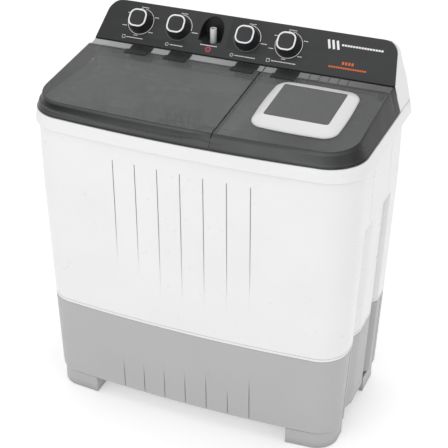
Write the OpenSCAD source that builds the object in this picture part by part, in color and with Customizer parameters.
/* [Overall] */
// Width across the white lip
overall_w = 896; // [860:2:930]
// Depth from the bowed front lip to the back of the console
overall_d = 500; // [490:2:520]
// Height from the floor to the top of the control panel
overall_h = 1024; // [1010:2:1040]

/* [Cabinet] */
// Height of the feet
foot_h = 50; // [30:1:60]
// Height of the seam between the grey base and the white cabinet
seam_z = 296; // [280:1:310]
// Height of the underside of the lip
lip_z = 824; // [815:1:830]
// Height of the top of the lip
rim_z = 861; // [858:1:864]
// Wall thickness of the moulded shells
wall = 3; // [2.5:0.25:3.5]
// Outward bow of the front
front_bow = 15; // [5:1:20]
// Height of the top of the side channels
channel_top = 643; // [500:5:760]

/* [Tubs] */
// Wall thickness of the twin tub
tub_wall = 3; // [2.5:0.25:3.5]
// Height of the floor inside the wash tub
wash_floor = 355; // [350:1:380]
// Inner radius of the well round the spin basket
well_r = 147; // [144:1:148]
// Outer radius of the spin basket
basket_r = 126; // [110:1:130]
// Radius of the pulsator
pulsator_r = 138; // [110:1:142]

/* [Lids] */
// Where the wash lid ends and the spin lid begins
split_x = 77.5; // [72:0.5:84]
// Gap between the two lids
lid_gap = 2.4; // [1.6:0.2:4]
// Thickness of the lids
lid_t = 2.6; // [2:0.2:3]
// Distance of the hinge axis above the floor
hinge_z = 919; // [917:1:920]

/* [Console] */
// Height of the lower edge of the control panel
panel_z = 935; // [934:0.5:936]
// Slant of the control panel from horizontal
panel_a = 48.4; // [47:0.2:50]
// Places of the knobs across the panel
knob_x = [-304, -191, 6.4, 122.3];
// How far a knob stands out of the panel
knob_h = 29; // [22:1:30]
// Width of the square face of a knob
knob_w = 50; // [40:1:52]

/* [Drive] */
// Radius of the wash and spin shafts
shaft_r = 8; // [7:0.5:9]
// Groove radius of the pulley on the wash shaft
pulley_r = 84; // [70:1:90]
// Groove radius of the pulley on the wash motor
motor_pulley_r = 24; // [18:1:28]
// Radial play of every running fit
play = 0.05; // [0.03:0.01:0.08]

/* [Hidden] */

tiny = 0.2;                       // visible gap between two fitted pieces
far = 2000;                       // larger than the whole machine
half_w = overall_w / 2;
back_y = overall_d / 2;
body_back = 200;                  // rear wall of the cabinet and the base
lip_front = -overall_d / 2 + front_bow;

// half width, front corner, corner radius and height of each level of the body
base_low = [half_w - 31.5, lip_front + 35, 67, foot_h];
base_top = [half_w - 22, lip_front + 24.3, 79, seam_z];
wall_mid = [half_w - 9.8, lip_front + 14, 88, 660];
wall_top = [half_w - 9.3, lip_front + 8.5, 95, lip_z];
lip_low = [half_w, lip_front, 104, lip_z];
lip_top = [half_w - 5.5, lip_front + 1, 102, rim_z];
lid_low = [half_w - 7, lip_front + 1, 102, rim_z + 1.2];
lid_front_z = 899.3;

// each side channel: front edge, deepest line, rear edge and depth
channels = [[-101, -88, -31, 17], [61, 104, 131, 23]];
base_slots = [-115, 165];         // thin upright slots in the sides of the base
groove_x = [for (i = [-3:3]) -3 + 62 * i];

wash_c = [-171, -54];             // centre of the wash tub and pulsator
wash_half = [226, 148];           // half width and half depth inside the wash tub
spin_c = [250, -58];              // centre of the spin basket
motor_c = [40, -54];              // centre of the wash motor
deck_z = 857;
shelf_z = 899;                    // shelf that carries the lid hinges
well_floor = 433;
hinge_y = 121;
hinge_r = 3;
bracket_x = [-275, -162, 30, 142];
bracket_w = 62;
end_post_x = 394;

panel_y = 137;
panel_top_z = overall_h - 0.3;
panel_t = 3;
panel_corner = 35;
knob_u = 64;                      // distance of the knobs up the slope of the panel
console_z = rim_z + tiny;

frame_c = [253, -53];             // centre of the frame on the spin lid
lid_rise = 34;                    // from the front edge of the lids to the hinge strip, over lid_run
lid_run = 315;
lid_slope = atan(lid_rise / lid_run);
frame_rise = 17;

inlet_c = [-95, 190];
inlet_r = 10;
inlet_top = 992;
arch_half = 33;
arch_floor = 964;
arch_top = 1018;
bezel = [100, 90.6];              // plate round the inlet, let into the panel
bezel_u = 69.3;                   // its middle, up the panel's slope

belt_z = 296;
belt_h = 18;
cable_c = [300, 352];             // x and z of the cord gland in the rear panel
drain_c = [-308, 68];
drain_z = 268;
brake_c = [342, -128];            // pivot of the brake lever
brake_z = 222;
cover_axis = [95, 863];           // y and z of the hinge of the spin cover

white = [0.93, 0.94, 0.95];
grey = [0.69, 0.70, 0.71];
smoke = [0.30, 0.31, 0.32];
dark = [0.17, 0.18, 0.19];
steel = [0.62, 0.63, 0.65];

function shrink(level, t) = [level[0] - t, level[1] + t, level[2] - t, level[3]];
function at_z(level, z) = [level[0], level[1], level[2], z];
function mix(a, b, z) = let (s = (z - a[3]) / (b[3] - a[3])) at_z(a + (b - a) * s, z);
function arc(cx, cy, r, a0, a1, n) =
    [for (i = [0:n]) let (a = a0 + (a1 - a0) * i / n) [cx + r * cos(a), cy + r * sin(a)]];
function flip(points) = [for (i = [len(points) - 1:-1:0]) [-points[i][0], points[i][1]]];

// left half of the front of an outline: a round corner, then half of the bowed front
function front_left(hw, yf, r, bow) = concat(
    arc(r - hw, yf + r, r, 180, 270, 8),
    [for (i = [1:7]) let (s = i / 7 - 1) [s * (hw - r), yf - bow * (1 - s * s)]]);

// channel points down the left side, from the rear edge of the last to the front of the first
function side_left(hw, depth) = [for (i = [1, 0]) let (c = channels[i])
    each [[-hw, c[2]], [c[3] * depth - hw, c[1]], [-hw, c[0]]]];

// plan outline, anticlockwise from the rear left
function outline(level, back, bow, depth) = let (
    hw = level[0],
    left = concat(
        arc(14 - hw, back - 14, 14, 90, 180, 3),
        side_left(hw, depth),
        front_left(hw, level[1], level[2], bow)))
    concat(left, [for (i = [1:len(left) - 1]) flip(left)[i]]);

function ring(level, back, bow = front_bow, depth = 0) =
    [for (p = outline(level, back, bow, depth)) [p[0], p[1], level[3]]];

// triangles across a ring that is the same on both sides: point i lies opposite point n - 1 - i
function cap(n) = concat(
    [for (i = [0:ceil(n / 2) - 2]) [i, i + 1, n - 1 - i]],
    [for (i = [0:floor(n / 2) - 2]) [i + 1, n - 2 - i, n - 1 - i]]);

// closed solid through such rings, from the lowest to the highest
module loft(rings) {
    n = len(rings[0]);
    top = (len(rings) - 1) * n;
    sides = [for (k = [0:len(rings) - 2], i = [0:n - 1]) let (a = k * n + i, b = k * n + (i + 1) % n)
        each [[a, a + n, b + n], [a, b + n, b]]];
    polyhedron([for (r = rings) each r],
        concat(cap(n), sides, [for (t = cap(n)) [top + t[2], top + t[1], top + t[0]]]));
}

module rounded(w, d, r) {
    square([w - 2 * r, d], center = true);
    square([w, d - 2 * r], center = true);
    for (x = [-1, 1], y = [-1, 1]) translate([x * (w / 2 - r), y * (d / 2 - r)]) circle(r, $fn = 48);
}
module at(c, z = 0) translate([c[0], c[1], z]) children();
module block(lo, hi) translate(lo) cube(hi - lo);
module rod(r, h, sides = 48) cylinder(r = r, h = h, $fn = sides);
module ring_rod(r, hole, h, sides = 48) difference() {
    rod(r, h, sides);
    translate([0, 0, -1]) rod(hole, h + 2, sides);
}
module across(x, y, z) translate([x, y, z]) rotate([0, 90, 0]) children();

// ---- body -------------------------------------------------------------------------------

module base_tray() color(grey) difference() {
    loft([ring(base_low, body_back, depth = 1), ring(at_z(base_top, seam_z - tiny), body_back, depth = 1)]);
    loft([ring(shrink(mix(base_low, base_top, foot_h + 4), wall), body_back - wall, depth = 1),
        ring(shrink(at_z(base_top, seam_z + 1), wall), body_back - wall, depth = 1)]);
    base_grooves();
    translate([drain_c[0], body_back - 20, drain_z]) rotate([-90, 0, 0]) rod(14 + tiny, 40);
    for (x = [-255:60:225]) block([x, 150, foot_h - 1], [x + 30, 156, foot_h + 5]);
}

module base_grooves() {
    lean = atan((base_low[1] - base_top[1]) / (seam_z - foot_h));
    for (x = groove_x) translate([x, base_low[1] + 1.1 - front_bow * (1 - pow(x / 350, 2)), foot_h + 4])
        rotate([lean, 0, 0]) block([-0.9, -9, 0], [0.9, 0, 130]);
    for (s = [-1, 1], y = base_slots)
        block([s * (half_w - 23.6) - 8, y - 1.5, foot_h - 1], [s * (half_w - 23.6) + 8, y + 1.5, seam_z - 10]);
}

module cabinet() color(white) difference() {
    loft([ring(base_top, body_back, depth = 1),
        ring(mix(base_top, wall_mid, channel_top - 1), body_back, depth = 1),
        ring(mix(base_top, wall_mid, channel_top), body_back),
        ring(wall_mid, body_back),
        ring(wall_top, body_back)]);
    loft([ring(shrink(at_z(base_top, seam_z - 1), wall), body_back - wall, depth = 1),
        ring(shrink(mix(base_top, wall_mid, channel_top + wall), wall), body_back - wall, depth = 1),
        ring(shrink(mix(base_top, wall_mid, channel_top + wall + 1), wall), body_back - wall),
        ring(shrink(at_z(wall_top, lip_z + 1), wall), body_back - wall)]);
    for (x = groove_x) translate([x, wall_mid[1] + 1.1 - front_bow * (1 - pow(x / 350, 2)), 660])
        rotate([atan((base_top[1] - wall_mid[1]) / (660 - seam_z)), 0, 0])
        block([-0.9, -4, -230], [0.9, 0, 110]);
    block([-380, body_back - 10, 320], [380, body_back + 10, 780]);
}

module top_frame() color(white) difference() {
    loft([ring(lip_low, back_y), ring(lip_top, back_y)]);
    loft([ring(shrink(at_z(wall_top, lip_z - 1), wall), body_back - wall),
        ring(shrink(at_z(wall_top, lip_z + wall), wall), body_back - wall),
        ring(shrink(at_z(lip_low, lip_z + wall), wall), back_y - wall),
        ring(shrink(at_z(lip_top, rim_z + 1), wall), back_y - wall)]);
}

module rear_panel() color(white) difference() {
    block([-395, body_back + tiny, 305], [395, body_back + 2, 795]);
    screw_places() rod(2.2, 20, 24);
    translate([cable_c[0], body_back - 5, cable_c[1]]) rotate([-90, 0, 0]) rod(8.1, 20);
    for (z = [640:20:740]) block([-60, body_back - 1, z], [60, body_back + 9, z + 6]);
}
module screw_places() for (x = [-388, 0, 388], z = [312, 788])
    translate([x, body_back - 8, z]) rotate([-90, 0, 0]) children();
module rear_panel_screws() color(steel) screw_places() {
    translate([0, 0, 8 + tiny]) rod(2, 2, 24);
    translate([0, 0, 10.1]) cylinder(r1 = 5, r2 = 3.6, h = 2.4, $fn = 32);
}

module foot(sx, sy) color(grey) difference() {
    linear_extrude(foot_h - tiny) intersection() {
        polygon(outline(shrink(base_low, 4), body_back - 4, front_bow, 0));
        translate([sx * 345, sy * 150]) square([122, 104], center = true);
    }
    at([sx * 345, sy * 150], 6) block([-48, -38, 0], [48, 38, foot_h]);
}
module front_feet() for (sx = [-1, 1]) foot(sx, -1);
module rear_feet() for (sx = [-1, 1]) foot(sx, 1);

// ---- tubs and drain ---------------------------------------------------------------------

module wash_plan(t = 0) at(wash_c) rounded(2 * (wash_half[0] + t), 2 * (wash_half[1] + t), 70 + t);

// the deck round both tubs, its skirt inside the lip and the shelf for the lid hinges
module tub_deck() {
    deck_level = [lip_top[0] - wall - 0.6, lip_top[1] + wall + 0.6, 98];
    deck_back = back_y - wall - 0.6;
    color(white) difference() {
        union() {
            translate([0, 0, deck_z - 5]) linear_extrude(5) polygon(outline(deck_level, deck_back, front_bow, 0));
            translate([0, 0, lip_z + wall + tiny]) linear_extrude(deck_z - lip_z - wall - 1) difference() {
                polygon(outline(deck_level, deck_back, front_bow, 0));
                polygon(outline(shrink(deck_level, wall), deck_back - wall, front_bow, 0));
            }
            block([-405, 104, deck_z - 1], [405, 138, shelf_z]);
            cover_lugs();
        }
        translate([0, 0, deck_z - 10]) linear_extrude(60) wash_plan();
        at(spin_c, deck_z - 10) rod(well_r, 60, 96);
        block([-402, 107, 0], [402, 135, shelf_z - 3]);
        for (x = [-340, -120, 100, 330]) at([x, 190], 840) rod(12, 40);
        cover_hinges() rod(2 + play, 40, 24);
    }
}
module wash_tub() color(white) difference() {
    translate([0, 0, wash_floor - tub_wall]) linear_extrude(deck_z - 5 - wash_floor + tub_wall) wash_plan(tub_wall);
    translate([0, 0, wash_floor]) linear_extrude(600) wash_plan();
    at(wash_c, 300) rod(20.1, 100);
    at(drain_c, 300) rod(16, 100);
}
module spin_tub() color(white) at(spin_c, 0) difference() {
    translate([0, 0, well_floor - tub_wall]) rod(well_r + tub_wall, deck_z - 5 - well_floor + tub_wall, 96);
    translate([0, 0, well_floor]) rod(well_r, 600, 96);
    translate([0, 0, 400]) rod(32.1, 100);
}
module cover_hinges() for (x = [180, 320]) across(x - 20, cover_axis[0], cover_axis[1]) children();
module cover_lugs() for (x = [180, 320], s = [-1, 1]) {
    across(x + s * 15 - 2, cover_axis[0], cover_axis[1]) rod(5, 4, 32);
    block([x + s * 15 - 2, cover_axis[0] - 5, deck_z - 1], [x + s * 15 + 2, cover_axis[0] + 5, cover_axis[1]]);
}

// upright duct over the drain hole, against the rear wall of the wash tub
module drain_cover() color(white) difference() {
    intersection() {
        translate([0, 0, wash_floor + tiny]) linear_extrude(780 - wash_floor) wash_plan(-tiny);
        block([-352, 50, 0], [-266, 200, far]);
    }
    block([-349, 53, 0], [-269, 200, 776]);
    for (x = [-342:12:-278], z = [400:90:700]) block([x, 40, z], [x + 5, 60, z + 64]);
}

module lint_filter() color([0.55, 0.75, 0.86]) difference() {
    block([-190, 74, 600], [-90, wash_c[1] + wash_half[1] - tiny, 800]);
    block([-186, 70, 606], [-94, 88, 780]);
    for (x = [-180:18:-108]) block([x, 70, 615], [x + 12, 110, 770]);
}

module drain_valve() color([0.86, 0.86, 0.84]) difference() {
    union() {
        at(drain_c, 250) rod(30, wash_floor - tub_wall - 250);
        at(drain_c, drain_z) rotate([-90, 0, 0]) rod(13.8, 80);
    }
    at(drain_c, 254) rod(26, 26);
    at(drain_c, 279) rod(19, 6);
    at(drain_c, 283.8) rod(26, 100);
    at(drain_c, 240) rod(3 + play, 40, 24);
    at(drain_c, drain_z) rotate([-90, 0, 0]) rod(10.5, 100);
}
module drain_plunger() color(dark) at(drain_c) {
    translate([0, 0, 284]) cylinder(r1 = 23, r2 = 18, h = 8, $fn = 48);
    translate([0, 0, 232]) rod(3, 56, 24);
}
module drain_outlet() color(dark) translate([drain_c[0], 0, drain_z]) rotate([-90, 0, 0]) {
    translate([0, 0, body_back + 6]) ring_rod(14, 10.5, 28);
    translate([0, 0, drain_c[1] + 80.3]) ring_rod(13.4, 10.5, body_back - drain_c[1] - 73);
    translate([0, 0, body_back + tiny]) ring_rod(19, 12, 3);
}

// ---- wash drive -------------------------------------------------------------------------

module pulsator() color([0.80, 0.83, 0.86]) at(wash_c, wash_floor + 5) difference() {
    union() {
        rod(pulsator_r, 6, 96);
        cylinder(r1 = 58, r2 = 40, h = 34, $fn = 64);
        for (a = [0:60:300]) rotate(a) difference() {
            translate([30, -7, 5]) cube([pulsator_r - 38, 14, 17]);
            translate([pulsator_r - 30, -20, 22]) rotate([0, 45, 0]) cube([60, 40, 60]);
        }
    }
    translate([0, 0, -1]) rod(shaft_r + tiny / 4, 27);
    translate([0, 0, -1]) rod(3.2, 60, 24);
    translate([0, 0, 29]) rod(10.2, 30);
}
module pulsator_screw() color(steel) at(wash_c, wash_floor) {
    translate([0, 0, 34.2]) difference() {
        rod(8, 5, 32);
        translate([0, 0, 2.5]) rod(4, 5, 6);
    }
    translate([0, 0, 31.2]) rod(3, 4, 24);
}
module wash_shaft() color(steel) at(wash_c, belt_z - 6) rod(shaft_r, wash_floor + 31 - belt_z + 6);
module wash_seal() color(dark) at(wash_c, wash_floor - tub_wall + tiny) ring_rod(20, shaft_r + play, 6);
module wash_bearing() color(steel) at(wash_c, 318) {
    ring_rod(26, shaft_r + play, 30);
    translate([0, 0, wash_floor - tub_wall - 318 - 4.2]) ring_rod(55, 25, 4);
}

// grooved pulley, its flanges stand 6 above the groove
module pulley(r, bore) rotate_extrude($fn = 96) polygon([[bore, 0], [r + 6, 0], [r + 6, 3], [r, 6],
    [r, belt_h - 6], [r + 6, belt_h - 3], [r + 6, belt_h], [bore, belt_h]]);
module wash_pulley() color(steel) at(wash_c, belt_z) difference() {
    pulley(pulley_r, shaft_r + 0.02);
    for (a = [0:60:300]) rotate(a) translate([pulley_r * 0.56, 0, -1]) rod(16, 40, 32);
}
module belt_plan(extra) hull() {
    at(wash_c) circle(pulley_r + extra, $fn = 96);
    at(motor_c) circle(motor_pulley_r + extra, $fn = 96);
}
module drive_belt() color(dark) translate([0, 0, belt_z + 6.3]) linear_extrude(belt_h - 12.6) difference() {
    belt_plan(7);
    belt_plan(0.3);
}
module motor_pulley() color(steel) at(motor_c, belt_z) pulley(motor_pulley_r, 7.02);
module wash_motor_shaft() color(steel) at(motor_c, 268) rod(7, belt_z + belt_h + 2 - 268);
module wash_motor() color([0.35, 0.37, 0.40]) at(motor_c, 164) difference() {
    union() {
        rod(46, 10);
        translate([0, 0, 9]) rod(58, 100, 64);
        translate([0, 0, 108]) rod(46, 10);
        for (a = [45:90:315]) rotate(a) translate([62, 0, 96]) rod(9, 22.8, 32);
    }
    translate([0, 0, 100]) rod(7 + play, 30);
    for (a = [0:30:330]) rotate(a) translate([30, -3, -1]) cube([10, 6, 8]);
}
module motor_bracket() color(steel) difference() {
    union() {
        at(motor_c, 283) block([-75, -92, 0], [62, 92, 4]);
        for (x = [-64, 18], y = [-84, 84]) at(motor_c + [x, y], 286) rod(7, wash_floor - tub_wall - 286 - tiny, 32);
    }
    at(motor_c, 270) rod(30, 40);
}

// ---- spin drive -------------------------------------------------------------------------

module spin_basket() color([0.78, 0.80, 0.82]) at(spin_c, 0) difference() {
    union() {
        translate([0, 0, 452]) rod(basket_r, 386, 96);
        translate([0, 0, 440]) rod(34, 14);
    }
    translate([0, 0, 456]) rod(basket_r - 3, 366, 96);
    translate([0, 0, 800]) rod(basket_r - 16, 60, 96);
    translate([0, 0, 430]) rod(shaft_r + 1.02, 40);
    for (a = [0:36:324], z = [500:70:780]) rotate(a) translate([basket_r - 10, 0, z])
        rotate([0, 90, 0]) rod(3.5, 20, 24);
}
module basket_cap() color([0.80, 0.83, 0.86]) at(spin_c, 456.2) difference() {
    cylinder(r1 = 52, r2 = 30, h = 40, $fn = 64);
    translate([0, 0, -1]) rod(shaft_r + 1.02, 26);
}
module spin_shaft() color(steel) at(spin_c, 188) rod(shaft_r + 1, 290);
module spin_bellows() color(dark) at(spin_c, 0) rotate_extrude($fn = 64) polygon([[shaft_r + 1 + play, 408],
    [20, 408], [30, 414], [24, 419], [31, 425], [31, 436], [shaft_r + 1 + play, 436]]);
module brake_drum() color(steel) at(spin_c, brake_z) difference() {
    rod(62, 22, 96);
    translate([0, 0, -1]) difference() {
        rod(56, 17, 96);
        rod(18, 17);
    }
    translate([0, 0, -5]) rod(shaft_r + 1.02, 60);
}
module brake_lever() color(steel) difference() {
    union() {
        at(brake_c, brake_z) rod(9, 20, 32);
        block([brake_c[0] - 5, brake_c[1], brake_z + 2], [brake_c[0] + 2, brake_c[1] + 150, brake_z + 18]);
    }
    at(brake_c, brake_z - 5) rod(4 + play, 40, 24);
}
module brake_shoe() color([0.30, 0.22, 0.18]) difference() {
    block([spin_c[0] + 56, spin_c[1] - 20, brake_z + 3], [brake_c[0] - 5, spin_c[1] + 20, brake_z + 17]);
    at(spin_c, brake_z) rod(65, 60, 96);
}
module brake_post() color(steel) {
    at(brake_c, foot_h + 4) rod(12, brake_z - foot_h - 5, 32);
    at(brake_c, brake_z - 2) rod(4, 24, 24);
}
module spin_motor() color([0.35, 0.37, 0.40]) at(spin_c, 98) difference() {
    union() {
        rod(52, 10);
        translate([0, 0, 9]) rod(66, 86, 64);
        translate([0, 0, 94]) rod(52, 10);
        for (a = [90:120:330]) rotate(a) translate([72, 0, 0]) rod(15, 12, 32);
    }
    translate([0, 0, 80]) rod(shaft_r + 1 + play, 40);
}
module motor_mounts() color(dark) for (a = [90:120:330]) at(spin_c, foot_h + 4) rotate(a) translate([72, 0, 0]) {
    rod(17, 6, 32);
    translate([0, 0, 5]) rod(11, 38 - tiny, 32);
}
module capacitor() color([0.85, 0.85, 0.82]) at([-320, -110], foot_h + 4) {
    rod(22, 76);
    for (x = [-8, 8]) translate([x - 3, -1, 75]) cube([6, 2, 12]);
}

// ---- lids -------------------------------------------------------------------------------

function lid_top_z(y) = lid_front_z + lid_slope_share(y) * lid_rise;
function lid_slope_share(y) = y > 95 ? 1 : (y - lid_low[1] - 14) / lid_run;
function lid_plan(hw, yf, r, bow, back) = let (
    left = concat([[-hw, back], [-hw, 120], [-hw, 96], [-hw, 94]], front_left(hw, yf, r, bow)))
    concat(left, [for (i = [1:len(left) - 1]) flip(left)[i]]);

// the closed outer form of both lids, or the hollow under it when t is the lid's thickness
module lid_form(t = 0) loft([
    [for (p = lid_plan(lid_low[0] - t, lid_low[1] + t, 102 - t, 15.6, 149 + t)) [p[0], p[1], lid_low[3] - t]],
    [for (p = lid_plan(lid_low[0] - 19 - t, lid_low[1] + 14 + t, 80 - t, 8.4, 137 + t))
        [p[0], p[1], lid_top_z(p[1]) - t]]]);

// behind the hinge axis the lid stays inside what can swing past the lip and the console
module lid_sweep() rotate([90, 0, 90]) translate([0, 0, -far / 2]) linear_extrude(far) union() {
    polygon([[-400, 0], [hinge_y, 0], [hinge_y, 1000], [-400, 1000]]);
    intersection() {
        translate([hinge_y, hinge_z]) circle(hinge_z - rim_z - 1.4, $fn = 96);
        polygon([[hinge_y - 1, 800], [panel_y + 10.8, 800], [panel_y + 9.6, 870], [panel_y + 1.6, hinge_z],
            [hinge_y - 1, hinge_z]]);
    }
    intersection() {
        translate([hinge_y, hinge_z]) circle(17.8, $fn = 96);
        square([200, 1000]);
    }
}
module lid_shell(x0, x1) intersection() {
    difference() {
        lid_form();
        lid_form(lid_t);
    }
    lid_sweep();
    block([x0, -far / 2, 0], [x1, far / 2, far]);
}
module lid_ears(places, w) for (x = places, s = [-1, 1]) difference() {
    union() {
        across(x + s * (w / 2 + 2.5) - 2, hinge_y, hinge_z) rod(9.5, 4, 32);
        block([x + s * (w / 2 + 2.5) - 2, hinge_y - 12, hinge_z],
            [x + s * (w / 2 + 2.5) + 2, hinge_y + 8, lid_top_z(100) - 1]);
    }
    across(x - w, hinge_y, hinge_z) rod(hinge_r + 0.01, 2 * w, 24);
}
module lid_seam_rib(x0) intersection() {
    lid_form();
    lid_sweep();
    translate([x0, -230, lid_front_z - 12]) rotate([lid_slope, 0, 0]) cube([2.4, 322, 200]);
}

module wash_lid() color(smoke) {
    lid_shell(-far / 2, split_x - lid_gap / 2);
    lid_seam_rib(split_x - lid_gap / 2 - 2.4);
    lid_ears([for (i = [0:2]) bracket_x[i]], bracket_w);
}
module on_lid() translate([frame_c[0], frame_c[1], lid_top_z(frame_c[1])])
    rotate([lid_slope, 0, 0]) children();
module spin_lid() color(smoke) {
    difference() {
        lid_shell(split_x + lid_gap / 2, far / 2);
        on_lid() translate([0, 0, -10]) linear_extrude(20) rounded(182, 176, 26);
    }
    lid_seam_rib(split_x + lid_gap / 2);
    lid_ears([bracket_x[3]], bracket_w);
    lid_ears([end_post_x], 12);
}
module frame_form(w, d, r, low, high) hull() {
    translate([0, 0, low]) linear_extrude(1) rounded(w[0], d[0], r[0]);
    translate([0, 0, high - 1]) linear_extrude(1) rounded(w[1], d[1], r[1]);
}
module spin_lid_frame() color(white) on_lid() difference() {
    frame_form([228, 180], [234, 170], [38, 10], tiny, frame_rise + 1);
    frame_form([222, 174], [228, 164], [35, 7], -3, frame_rise - 3);
    linear_extrude(60) rounded(172, 162, 6);
}
module spin_lid_window() color(dark) on_lid() translate([0, 0, frame_rise - 3]) linear_extrude(3)
    rounded(171.4, 161.4, 5.7);

module knuckle(x, w) difference() {
    union() {
        across(x - w / 2, hinge_y, hinge_z) rod(9, w, 48);
        block([x - w / 2, hinge_y - 9, shelf_z + tiny], [x + w / 2, hinge_y + 9, hinge_z]);
    }
    across(x - w, hinge_y, hinge_z) rod(hinge_r + play, 2 * w, 24);
}
module hinge_brackets() color(dark) for (x = bracket_x) knuckle(x, bracket_w);
module hinge_end_post() color(dark) knuckle(end_post_x, 12);
module hinge_pins(places, w) color(steel) for (x = places) across(x - w / 2 - 4, hinge_y, hinge_z)
    rod(hinge_r, w + 8, 24);
module wash_hinge_pins() hinge_pins([for (i = [0:2]) bracket_x[i]], bracket_w);
module spin_hinge_pins() {
    hinge_pins([bracket_x[3]], bracket_w);
    hinge_pins([end_post_x], 12);
}

module spin_cover() color([0.80, 0.84, 0.87]) {
    difference() {
        translate([250, -61.5, deck_z + 1]) linear_extrude(4) rounded(308, 299, 60);
        at([250, -176], deck_z + 2.5) linear_extrude(10) rounded(90, 34, 12);
        for (a = [0:45:315]) at([250, -50]) rotate(a) block([38, -3, 0], [66, 3, far]);
    }
    for (x = [180, 320]) {
        across(x - 12, cover_axis[0], cover_axis[1]) rod(4.2, 24, 32);
        across(x - 17, cover_axis[0], cover_axis[1]) rod(2, 34, 24);
        block([x - 12, 86, deck_z + 2], [x + 12, cover_axis[0], cover_axis[1]]);
    }
}

// ---- console ----------------------------------------------------------------------------

round_z = panel_top_z - panel_corner * sin(panel_a);
function console_half(z) = half_w - 7.8 - 0.2254 * (z - rim_z) - (z < round_z ? 0 :
    panel_corner - sqrt(max(0, pow(panel_corner, 2) - pow((z - round_z) / sin(panel_a), 2))));
function console_front(z) = z < panel_z ? panel_y + (panel_z - z) * 12 / 73
    : panel_y + (z - panel_z) / tan(panel_a);
function console_back(z) = lookup(z, [[rim_z, back_y - 0.5], [926, back_y - 1], [956, back_y - 12],
    [1010, back_y - 23], [panel_top_z, back_y - 29]]);
function console_ring(z, t = 0) = let (
    hw = console_half(z) - t,
    front = console_front(z) + 1.2 * t,
    back = console_back(z) - t,
    r = min(9, (back - front) * 0.8),
    right = concat([[hw, front]], arc(hw - r, back - r, r, 0, 90, 4)))
    [for (p = concat(right, flip(right))) [p[0], p[1], z]];
console_levels = concat([console_z, 890, 926, panel_z, 956, 978, round_z],
    [for (a = [20:14:76]) round_z + panel_corner * sin(panel_a) * sin(a)], [panel_top_z - 0.2, panel_top_z]);

module console_form() loft([for (z = console_levels) console_ring(z)]);
module on_panel(x, u) translate([x, panel_y + u * cos(panel_a), panel_z + u * sin(panel_a)])
    rotate([panel_a, 0, 0]) children();
module panel_slab(t) on_panel(0, 0) block([-far / 2, -1, -t], [far / 2, 200, 60]);
module arch(extra) {
    translate([inlet_c[0], arch_top - arch_half]) circle(arch_half + extra, $fn = 64);
    translate([inlet_c[0] - arch_half - extra, arch_floor - extra])
        square([2 * (arch_half + extra), arch_top - arch_half - arch_floor + extra]);
}
module arch_prism(extra, back) translate([0, back, 0]) rotate([90, 0, 0])
    linear_extrude(back - 158) arch(extra);

module console_shell() color(white) difference() {
    console_form();
    loft([for (z = console_levels) if (z < panel_top_z - 8) console_ring(z == console_z ? z - 1 : z, wall)]);
    panel_slab(panel_t + 0.1);
    arch_prism(2.3, 217);
}
module control_panel() color(dark) difference() {
    intersection() {
        console_form();
        panel_slab(panel_t);
    }
    bezel_plate(tiny, 20, 20);
    for (x = knob_x) on_panel(x, knob_u) translate([0, 0, -20]) rod(7, 40, 32);
}
module bezel_plate(gap, depth, rise) on_panel(inlet_c[0], bezel_u) translate([0, 0, -depth])
    linear_extrude(depth + rise) rounded(bezel[0] + 2 * gap, bezel[1] + 2 * gap, 10 + gap);
module inlet_cup() color(dark) difference() {
    union() {
        difference() {
            arch_prism(2, 216.5);
            panel_slab(panel_t + 0.05);
        }
        bezel_plate(0, panel_t + 0.08, 0);
    }
    translate([0, -2, 0]) arch_prism(0, 216.5);
    at(inlet_c, 900) rod(inlet_r + tiny, 100);
}
module inlet_spout() color(white) at(inlet_c, 0) difference() {
    union() {
        translate([0, 0, arch_floor]) rod(inlet_r, inlet_top - arch_floor);
        translate([0, 0, 930]) rod(inlet_r - 0.6, 40);
        translate([0, 0, arch_floor - 8]) ring_rod(15, inlet_r - 1, 5);
    }
    translate([0, 0, 929]) rod(6.5, 100);
}

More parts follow.
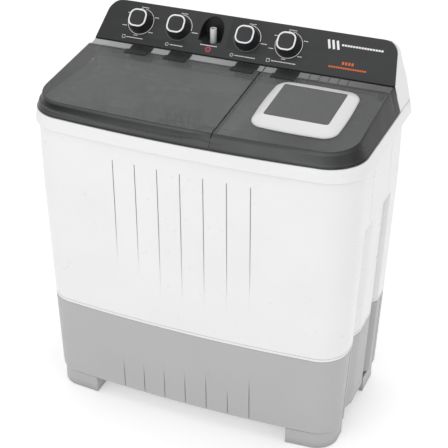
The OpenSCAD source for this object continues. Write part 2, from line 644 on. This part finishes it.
module knob(x) color(dark) on_panel(x, knob_u) difference() {
    union() {
        hull() {
            translate([0, 0, 0.6]) rod(34, 2, 48);
            translate([0, 0, knob_h - 3]) linear_extrude(3) rounded(knob_w, knob_w, 19);
        }
        translate([0, 0, -22]) rod(3, 24, 24);
    }
    difference() {
        translate([0, 0, -1]) rod(21, 20);
        translate([0, 0, -30]) rod(7, 60, 32);
    }
    translate([0, 0, knob_h - 0.8]) linear_extrude(5) difference() {
        rounded(knob_w - 3, knob_w - 3, 17.5);
        rounded(knob_w - 8, knob_w - 8, 15);
    }
}
module wash_timer_knob() knob(knob_x[0]);
module drain_knob() knob(knob_x[1]);
module wash_knob() knob(knob_x[2]);
module spin_timer_knob() knob(knob_x[3]);
module knob_sockets() color(steel) for (x = knob_x) on_panel(x, knob_u)
    translate([0, 0, -panel_t - 2]) ring_rod(6.5, 3 + play, 4.4, 32);

module timer(x, w, depth) color([0.88, 0.88, 0.84]) on_panel(x, knob_u) difference() {
    translate([-w / 2, -w / 2, -panel_t - 2 - depth - tiny]) cube([w, w, depth]);
    translate([0, 0, -60]) rod(3 + play, 70, 24);
}
module wash_timer() timer(knob_x[0], 52, 30);
module drain_switch() timer(knob_x[1], 38, 22);
module wash_switch() timer(knob_x[2], 38, 22);
module spin_timer() timer(knob_x[3], 52, 30);

module cord_gland() color(dark) translate([cable_c[0], body_back - 6, cable_c[1]]) rotate([-90, 0, 0])
difference() {
    union() {
        rod(8, 20);
        translate([0, 0, 8.2]) rod(12, 5);
    }
    translate([0, 0, -1]) rod(4.5, 40, 32);
}

base_tray();
cabinet();
top_frame();
rear_panel();
rear_panel_screws();
front_feet();
rear_feet();
tub_deck();
wash_tub();
spin_tub();
drain_cover();
lint_filter();
drain_valve();
drain_plunger();
drain_outlet();
pulsator();
pulsator_screw();
wash_shaft();
wash_seal();
wash_bearing();
wash_pulley();
drive_belt();
motor_bracket();
wash_motor();
wash_motor_shaft();
motor_pulley();
spin_basket();
basket_cap();
spin_shaft();
spin_bellows();
brake_drum();
brake_lever();
brake_shoe();
brake_post();
spin_motor();
motor_mounts();
capacitor();
spin_cover();
wash_lid();
spin_lid();
spin_lid_frame();
spin_lid_window();
hinge_brackets();
hinge_end_post();
wash_hinge_pins();
spin_hinge_pins();
console_shell();
control_panel();
inlet_cup();
inlet_spout();
wash_timer();
drain_switch();
wash_switch();
spin_timer();
wash_timer_knob();
drain_knob();
wash_knob();
spin_timer_knob();
knob_sockets();
cord_gland();
